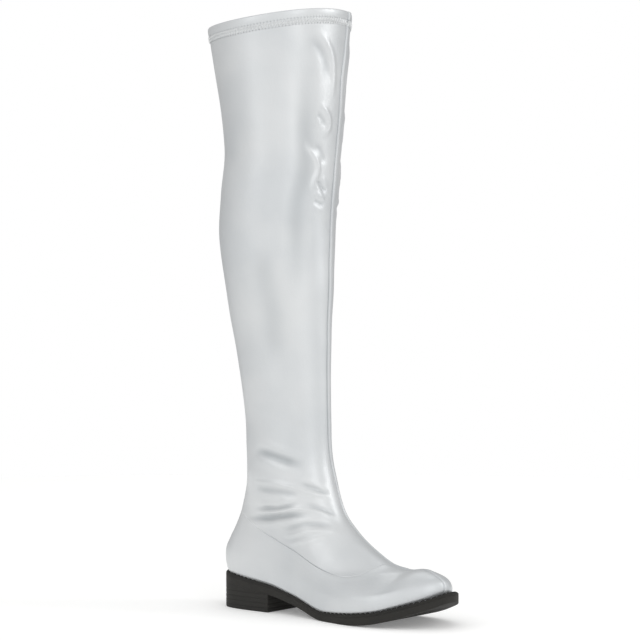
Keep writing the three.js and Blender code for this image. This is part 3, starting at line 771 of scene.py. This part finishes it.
collarPiece = dict(height=15.0, raised=0.4, wall=2.4, stitchTop=8.4, stitchBottom=14.3, pitch=3.3, lead=0.6,
                   pucker=0.24, holeRadius=0.6, holeDepth=0.6, threadRadius=0.4, columnsOuter=450, columnsInner=390)
zigzags = round(440 / collarPiece["pitch"])
bandAngles = np.linspace(0, 2 * math.pi, 721)
bandPlaces = placeBelowRim(bandAngles, collarPiece["height"])


def tuckedFoot(base, lift, share):
    # The lower edge rolls in over the last few mm and stands on the welt
    near = bell(share * 80, 2.2)[:, None]
    base = base.copy()
    base[0, :, 2] = soleTop(base[0, :, 0]) - 0.2
    return base, lift - footPiece["tuck"] * near


shaftCloth = dressUpper("shaftCloth", upperTube(seamPlace, bandPlace, shaftPiece), "shaft_outer_panel", "shaft_inner_panel")
footCloth = dressUpper("footCloth", upperTube(lambda angle: np.zeros_like(angle), seamPlace, footPiece, tuckedFoot),
                       "foot_outer_panel", "foot_inner_panel")
print("upper made:", len(shaftCloth.data.polygons), len(footCloth.data.polygons), "faces")


def stitchHoles(angle, below):
    # 1 in the middle of each needle hole: one at the foot and one at the head of every zigzag stitch
    spec = collarPiece
    period = angle / (2 * math.pi) * zigzags
    holes = 0
    for level, lead in ((spec["stitchBottom"], 0.0), (spec["stitchTop"], spec["lead"])):
        across = (period - lead - np.round(period - lead)) * spec["pitch"]
        holes = holes + bell(np.hypot(across, below - level), spec["holeRadius"])
    return holes


def collarOffset(below, angle):
    # How far the hem stands out at a distance below its rim: a soft roll, a dent at each needle hole,
    # and puckers that run on a slant with the stitches, high under each and low between them
    spec = collarPiece
    stitched = smooth((below - spec["stitchTop"] + 3) / 3.4) * smooth((spec["stitchBottom"] + 0.5 - below) / 1.4)
    roll = 0.3 * bell(below - 4.2, 3.0)
    slant = 2 * math.pi * spec["lead"] / (spec["stitchBottom"] - spec["stitchTop"])
    pucker = spec["pucker"] * stitched * np.cos(angle * zigzags + (below - spec["stitchBottom"]) * slant)
    edge = smooth((spec["height"] - below) / 5)
    return spec["raised"] * (0.1 + 0.9 * edge) + roll + pucker - spec["holeDepth"] * stitchHoles(angle, below)


def makeCollar():
    spec = collarPiece
    face = np.concatenate([[spec["height"] - 0.03], np.linspace(spec["height"] - 0.06, 1.4, 36)])
    turn = np.linspace(0, math.pi, 11)[1:-1]
    radius = (spec["raised"] + spec["wall"]) / 2
    below = np.concatenate([face, 1.4 - 1.4 * np.sin(turn), np.linspace(1.4, spec["height"] - 0.05, 12)])
    angle = columnAngles(spec["columnsOuter"], spec["columnsInner"], np.full(len(below), collarPlace - 0.3))
    place = placeBelowRim(angle, below[:, None])
    offset = np.zeros(angle.shape)
    count = len(face)
    offset[:count] = collarOffset(below[:count, None], angle[:count])
    offset[:count] = mix(spec["raised"], offset[:count], smooth((below[:count, None] - 1.4) / 1.5))
    offset[count:count + len(turn)] = (spec["raised"] - radius + radius * np.cos(turn))[:, None]
    offset[count + len(turn):] = -spec["wall"]
    base = faceAt(angle, place)
    fold = creaseHeight(base)
    offset += fold + softUnevenness(base) + frontRidge(angle, place)
    points = base + outwardAt(angle, place) * offset[..., None]
    # painted shade: crease troughs and seam grooves darken the film through these marks
    marks = fold - ridgeShadow(angle, place)
    # painted shade in the needle holes: the marks are lowered there, darkening the film
    marks[:count] -= 2.5 * stitchHoles(angle[:count], below[:count, None])
    columns = points.shape[1]
    coords = clothCoords(len(points), columns, np.linspace(0, 0.44, columns + 1)[None, :],
                         np.concatenate([below, below[:1]])[:, None] / 1000)
    mesh = gridMesh("collarHem", points, coords=coords, marks=marks)
    piece = makeObject("collarHem", mesh)
    piece.data.materials.append(pearl)
    piece.data.materials.append(lining)
    rows = np.repeat(np.arange(len(points)), columns)
    piece.data.polygons.foreach_set("material_index", (rows >= count + len(turn) + 2).astype(np.int32))
    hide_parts("collar_band")
    return piece


def tubeMesh(name, path, outward, radius, sides):
    # A closed tube: round each point of the path, a ring in the plane of the outward direction and the
    # one square to it and to the path
    ahead = np.roll(path, -1, axis=0) - np.roll(path, 1, axis=0)
    ahead /= np.linalg.norm(ahead, axis=1, keepdims=True)
    side = np.cross(ahead, outward)
    side /= np.linalg.norm(side, axis=1, keepdims=True)
    up = np.cross(side, ahead)
    turn = np.arange(sides) / sides * 2 * math.pi
    ring = np.cos(turn)[None, :, None] * up[:, None] + np.sin(turn)[None, :, None] * side[:, None]
    points = path[:, None] + ring * radius
    length = np.concatenate([[0], np.cumsum(np.linalg.norm(np.diff(path, axis=0), axis=1)), [0]])
    length[-1] = length[-2] + 1
    coords = clothCoords(len(points), sides, np.linspace(0, radius * 6.28, sides + 1)[None, :] / 1000, length[:, None] / 1000)
    return gridMesh(name, points[:, ::-1], coords=coords)


def makeZigzag():
    # One thread round the hem: up on a slant from each lower needle hole to the next upper one, and
    # steeply back down, sunk into the cloth at the holes and on the way down
    spec = collarPiece
    keys = np.array([0, 0.12, 0.35, 0.58, 0.7, 0.78, 0.85, 0.93])  # shares of one zigzag
    share = np.tile(keys, zigzags)
    number = np.repeat(np.arange(zigzags), len(keys))
    lead = np.interp(share, [0, 0.7, 1], [0, spec["lead"], 1])
    angle = (number + lead) / zigzags * 2 * math.pi
    below = np.interp(share, [0, 0.7, 1], [spec["stitchBottom"], spec["stitchTop"], spec["stitchBottom"]])
    place = placeBelowRim(angle, below)
    sunk = np.interp(share, [0, 0.12, 0.58, 0.7, 0.85, 1], [0.45, 0, 0, 0.45, 0.3, 0.45])
    base, outward = faceAt(angle, place), outwardAt(angle, place)
    offset = collarOffset(below, angle) + frontRidge(angle, place) + creaseHeight(base) + softUnevenness(base)
    offset += spec["holeDepth"] * stitchHoles(angle, below) + spec["threadRadius"] * 0.6 - sunk
    path = base + outward * offset[:, None]
    piece = makeObject("collarZigzag", tubeMesh("collarZigzag", path, outward, spec["threadRadius"], 5))
    piece.data.materials.append(thread)
    return piece


collarHem = makeCollar()
collarZigzag = makeZigzag()
print("collar made:", len(collarHem.data.polygons), "faces")

# ---------------------------------------------------------------- the sole
outsolePiece = dict(halfColumns=340, across=36, edgeRounding=0.8, heelRounding=0.2, barPitch=6.0, barDepth=0.7, barMargin=9.0)
weltPiece = dict(pitch=5.5, perStitch=10, width=6.5, bump=1.4, bumpAt=2.3, bumpHalf=1.7)
heelPiece = dict(liftPitch=4.6, lifts=4, groove=0.45, grooveWidth=0.45, corner=1.1)


def soleSide(angle, sign):
    # A point of the sole's outline at an angle from the heel: the foot's outline and the ledge beyond it
    along = (1 - np.cos(angle)) / 2
    lateral = sign < 0
    side = loops["lateral" if lateral else "medial"][0]
    outline = curveThrough(footOutline[0], footOutline[1 if lateral else 2], along)
    ledge = curveThrough(footOutline[0], footOutline[3], along) * bootSizes["weltLedge"]
    y = side * outline * np.sin(angle) + ledge * np.sqrt(np.maximum(np.sin(angle), 0))
    return np.stack([along * bootSizes["soleLength"], sign * y], axis=-1)


def evenLoop(corners, count, softness):
    # A closed outline resampled at even distances, each point then a bell-weighted mean of its neighbours
    closed = np.concatenate([corners, corners[:1]])
    length = np.concatenate([[0], np.cumsum(np.linalg.norm(np.diff(closed, axis=0), axis=1))])
    at = np.arange(count) / count * length[-1]
    loop = np.stack([np.interp(at, length, closed[:, k]) for k in (0, 1)], axis=1)
    spacing = length[-1] / count
    reach = int(4 * softness / spacing) + 1
    weights = bell(np.arange(-reach, reach + 1) * spacing, softness)
    weights /= weights.sum()
    return sum(w * np.roll(loop, k, axis=0) for w, k in zip(weights, range(-reach, reach + 1))), length[-1]


def inset(loop, distance):
    # The outline moved inwards, square to itself
    ahead = np.roll(loop, -1, axis=0) - np.roll(loop, 1, axis=0)
    ahead /= np.linalg.norm(ahead, axis=1, keepdims=True)
    return loop + np.stack([-ahead[:, 1], ahead[:, 0]], axis=1) * distance


def ring(flat, height):
    return np.concatenate([flat, np.broadcast_to(height, (len(flat),))[:, None]], axis=1)


def wholeOutline(half):
    # From the heel over the outer side to the toe and back over the inner side, pairs at the same x
    angle = np.linspace(0, math.pi, half + 1)
    return np.concatenate([soleSide(angle, -1), soleSide(angle[1:-1], 1)[::-1]])


def capLines(flat, across, heightAt):
    # Points on the straight lines between the two sides of an outline
    half = len(flat) // 2
    outer, inner = flat[1:half], flat[::-1][:half - 1]
    share = np.linspace(0, 1, across + 2)[1:-1][None, :, None]
    both = mix(outer[:, None], inner[:, None], share)
    return np.concatenate([both, heightAt(both)[..., None]], axis=-1)


def makeOutsole():
    spec = outsolePiece
    edge = wholeOutline(spec["halfColumns"])
    rebate = lambda x: soleTop(x) - bootSizes["weltThickness"] - 0.02
    turn = np.linspace(0, math.pi / 2, 6)
    rows = []
    # the lower edge is rounded, but nearly sharp where it meets the heel block
    rounding = mix(spec["heelRounding"], spec["edgeRounding"], smooth((edge[:, 0] - bootSizes["heelLength"]) / 12))
    for t in turn:
        flat = inset(edge, (rounding * (1 - math.sin(t)))[:, None])
        rows.append(ring(flat, soleBottom(flat[:, 0]) + rounding * (1 - math.cos(t))))
    for share in np.linspace(0, 1, 7)[1:]:
        low = soleBottom(edge[:, 0]) + rounding
        rows.append(ring(edge, mix(low, rebate(edge[:, 0]), share)))
    deep = inset(edge, weltPiece["width"] + 0.3)
    rows.append(ring(deep, rebate(deep[:, 0])))
    rows.append(ring(deep, soleTop(deep[:, 0])))
    first = rows[0][:, :2]

    def tread(flat):
        # Low bars across the forefoot, as cosines of x, that fade out near the edge
        x, y = flat[..., 0], flat[..., 1]
        side = np.abs(flat - flat[:, :1]).sum(axis=-1), np.abs(flat - flat[:, -1:]).sum(axis=-1)
        margin = smooth((np.minimum(*side) - spec["barMargin"] + 3) / 3)
        zone = smooth((x - 148) / 6) * smooth((254 - x) / 6)
        bars = smooth(0.5 - 1.3 * np.cos((x + 0.0016 * y ** 2) / spec["barPitch"] * 2 * math.pi))
        return soleBottom(x) + spec["barDepth"] * margin * zone * (1 - bars)

    caps = [(capLines(first, spec["across"], tread), 0, True),
            (capLines(deep, 3, lambda flat: soleTop(flat[..., 0])), len(rows) - 1, False)]
    piece = makeObject("outsole", gridMesh("outsole", np.array(rows), closeAcross=False, caps=caps))
    piece.data.materials.append(rubber)
    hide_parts("outsole")
    return piece


def makeWelt():
    # A strip round the sole with raised stitches moulded along its top, 5.5 mm apart
    spec = weltPiece
    outline = wholeOutline(1400)
    length = np.linalg.norm(np.diff(np.concatenate([outline, outline[:1]]), axis=0), axis=1).sum()
    stitches = round(length / spec["pitch"])
    loop, length = evenLoop(outline, stitches * spec["perStitch"], 0.5)
    phase = np.arange(len(loop)) / spec["perStitch"] % 1
    stitch = smooth((0.5 - np.abs(phase - 0.5)) / 0.2 - 0.3)
    # they are low where the ledge is narrow, at the waist
    ledge = curveThrough(footOutline[0], footOutline[3], loop[:, 0] / bootSizes["soleLength"]) * bootSizes["weltLedge"]
    stitch = stitch * smooth((ledge - 0.9) / 0.9)
    thick = bootSizes["weltThickness"]
    profile = [(spec["width"], -thick), (0.05, -thick), (0, 0.05 - thick), (0, 0.3 - thick), (0, -1.0), (0.08, -0.4), (0.25, -0.1)]
    profile += [(at, 0.0) for at in np.linspace(0.6, 3.9, 11)] + [(4.6, 0.0), (spec["width"], 0.0)]
    rows = []
    for distance, rise in profile:
        flat = inset(loop, distance)
        lump = spec["bump"] * smooth(1.25 - abs(distance - spec["bumpAt"]) / spec["bumpHalf"])
        rows.append(ring(flat, soleTop(flat[:, 0]) + rise + lump * stitch * (rise > -1.5)))
    piece = makeObject("welt", gridMesh("welt", np.array(rows)))
    piece.data.materials.append(weltRubber)
    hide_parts("welt")
    return piece


def heelLoop(count):
    reach = bootSizes["heelLength"]
    cut = math.acos(1 - 2 * reach / bootSizes["soleLength"])
    angle = np.linspace(0, cut, 400)
    corners = np.concatenate([soleSide(angle, -1), soleSide(angle[1:], 1)[::-1]])
    return evenLoop(corners, count, heelPiece["corner"])[0]


def heelCap(loop, lines, heightAt):
    return capLines(loop, lines, heightAt)


def makeHeel():
    spec = heelPiece
    loop = heelLoop(420)
    base = bootSizes["topPieceThickness"] + 0.05
    top = lambda x: soleBottom(x) - 0.02
    highest = float(top(0.0))
    levels = np.linspace(base, highest, 70)
    rows = []
    for k, level in enumerate(levels):
        groove = sum(bell(level - base - lift * spec["liftPitch"], spec["grooveWidth"]) for lift in range(1, spec["lifts"]))
        edge = bell(level - base, 0.35) * 0.35
        flat = inset(loop, spec["groove"] * groove + edge)
        rows.append(ring(flat, np.minimum(level, top(flat[:, 0]) - 0.004 * (len(levels) - k))))
    caps = [(capLines(rows[0][:, :2], 6, lambda flat: np.full(flat.shape[:2], base)), 0, True),
            (capLines(rows[-1][:, :2], 6, lambda flat: top(flat[..., 0])), len(rows) - 1, False)]
    piece = makeObject("heelStack", gridMesh("heelStack", np.array(rows), closeAcross=False, caps=caps))
    piece.data.materials.append(heelStack)
    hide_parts("heel_block")
    return piece


def makeTopPiece():
    loop = heelLoop(420)
    thick = bootSizes["topPieceThickness"]
    rows = []
    for distance, level in [(0.9, 0), (0.35, 0.1), (0.1, 0.4), (0, 0.9), (0, 2.0), (0, thick - 0.5), (0.12, thick - 0.2), (0.4, thick)]:
        flat = inset(loop, distance)
        rows.append(ring(flat, level))
    caps = [(capLines(rows[0][:, :2], 6, lambda flat: np.zeros(flat.shape[:2])), 0, True),
            (capLines(rows[-1][:, :2], 6, lambda flat: np.full(flat.shape[:2], thick)), len(rows) - 1, False)]
    piece = makeObject("topPiece", gridMesh("topPiece", np.array(rows), closeAcross=False, caps=caps))
    piece.data.materials.append(topLift)
    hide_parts("heel_top_piece")
    return piece


outsole = makeOutsole()
welt = makeWelt()
heelBlock = makeHeel()
topPiece = makeTopPiece()
print("sole made:", [len(piece.data.polygons) for piece in (outsole, welt, heelBlock, topPiece)])

# The footbed inside keeps its CAD solid, in lining cloth
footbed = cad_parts["insole"]
footbed.data.materials.clear()
footbed.data.materials.append(lining)

# ---------------------------------------------------------------- studio
studio = dict(floor="#f8f8f7", floorGlow=0.18, floorReach=1.5, lightSide=1.08, darkSide=0.42,
              lightAzimuth=32.0, lightElevation=12.0)
softboxes = [
    dict(name="leftBox", azimuth=-12, elevation=20, distance=2.2, size=(0.6, 1.4), power=2.4),
    dict(name="frontBox", azimuth=60, elevation=22, distance=2.2, size=(0.5, 1.4), power=3.0),
    dict(name="rightBox", azimuth=120, elevation=23, distance=2.2, size=(0.55, 1.4), power=7.5),
    dict(name="backBox", azimuth=219, elevation=60, distance=2.4, size=(1.4, 1.4), power=4.5),
]


def makeStudio():
    mesh = bpy.data.meshes.new("floor")
    turn = np.linspace(0, 2 * math.pi, 97)[:-1]
    rim = np.stack([np.cos(turn), np.sin(turn), turn * 0], axis=1) * studio["floorReach"]
    mesh.from_pydata(rim.tolist(), [], [tuple(range(len(rim)))])
    floor = bpy.data.objects.new("floor", mesh)
    bpy.context.scene.collection.objects.link(floor)
    material, tree = newMaterial("mattPaperFloor")
    where = addNode(tree, "ShaderNodeTexCoord").outputs["Object"]
    fibre = addNode(tree, "ShaderNodeTexNoise", {"Scale": 900.0, "Detail": 2.0}, {"Vector": where})
    bump = addNode(tree, "ShaderNodeBump", {"Strength": 0.05, "Distance": 0.0002}, {"Height": fibre.outputs["Fac"]})
    paper = addNode(tree, "ShaderNodeBsdfPrincipled", {
        "Base Color": colour(studio["floor"]), "Roughness": 0.9, "Specular IOR Level": 0.2,
        "Emission Color": (1, 1, 1, 1), "Emission Strength": studio["floorGlow"]},
                    {"Normal": bump.outputs["Normal"]})
    finishMaterial(tree, paper)
    mesh.materials.append(material)
    for box in softboxes:
        light = bpy.data.lights.new(box["name"], "AREA")
        light.shape = "RECTANGLE"
        light.size, light.size_y = box["size"]
        light.energy = box["power"]
        lamp = bpy.data.objects.new(box["name"], light)
        turn, lift = math.radians(box["azimuth"]), math.radians(box["elevation"])
        toward = Vector((math.sin(turn) * math.cos(lift), -math.cos(turn) * math.cos(lift), math.sin(lift)))
        centre = Vector((0.07, 0, 0.3))
        lamp.location = centre + toward * box["distance"]
        lamp.rotation_mode = "QUATERNION"
        lamp.rotation_quaternion = (-toward).to_track_quat("-Z", "Y")
        lamp.visible_camera = False
        bpy.context.scene.collection.objects.link(lamp)
    world = bpy.data.worlds.new("studio")
    bpy.context.scene.world = world
    world.use_nodes = True
    tree = world.node_tree
    tree.nodes.clear()
    # white behind the boot; as light it is bright on the side of the key and dimmer away from it
    turn, lift = math.radians(studio["lightAzimuth"]), math.radians(studio["lightElevation"])
    toward = (math.sin(turn) * math.cos(lift), -math.cos(turn) * math.cos(lift), math.sin(lift))
    where = addNode(tree, "ShaderNodeTexCoord").outputs["Generated"]
    facing = addNode(tree, "ShaderNodeVectorMath", {"operation": "DOT_PRODUCT"})
    facing.inputs[0].default_value = toward
    tree.links.new(where, facing.inputs[1])
    light = addNode(tree, "ShaderNodeMapRange", {"From Min": -1.0, "To Min": studio["darkSide"], "To Max": studio["lightSide"]},
                    {"Value": facing.outputs["Value"]})
    seen = addNode(tree, "ShaderNodeLightPath")
    strength = addNode(tree, "ShaderNodeMix", {"data_type": "FLOAT"}, {"Factor": seen.outputs["Is Camera Ray"], "A": light.outputs["Result"]})
    strength.inputs["B"].default_value = 1.0
    sky = addNode(tree, "ShaderNodeBackground", {"Color": (1, 1, 1, 1)}, {"Strength": strength.outputs[0]})
    addNode(tree, "ShaderNodeOutputWorld", links={"Surface": sky.outputs["Background"]})


makeStudio()
bpy.context.scene.view_settings.view_transform = "Standard"
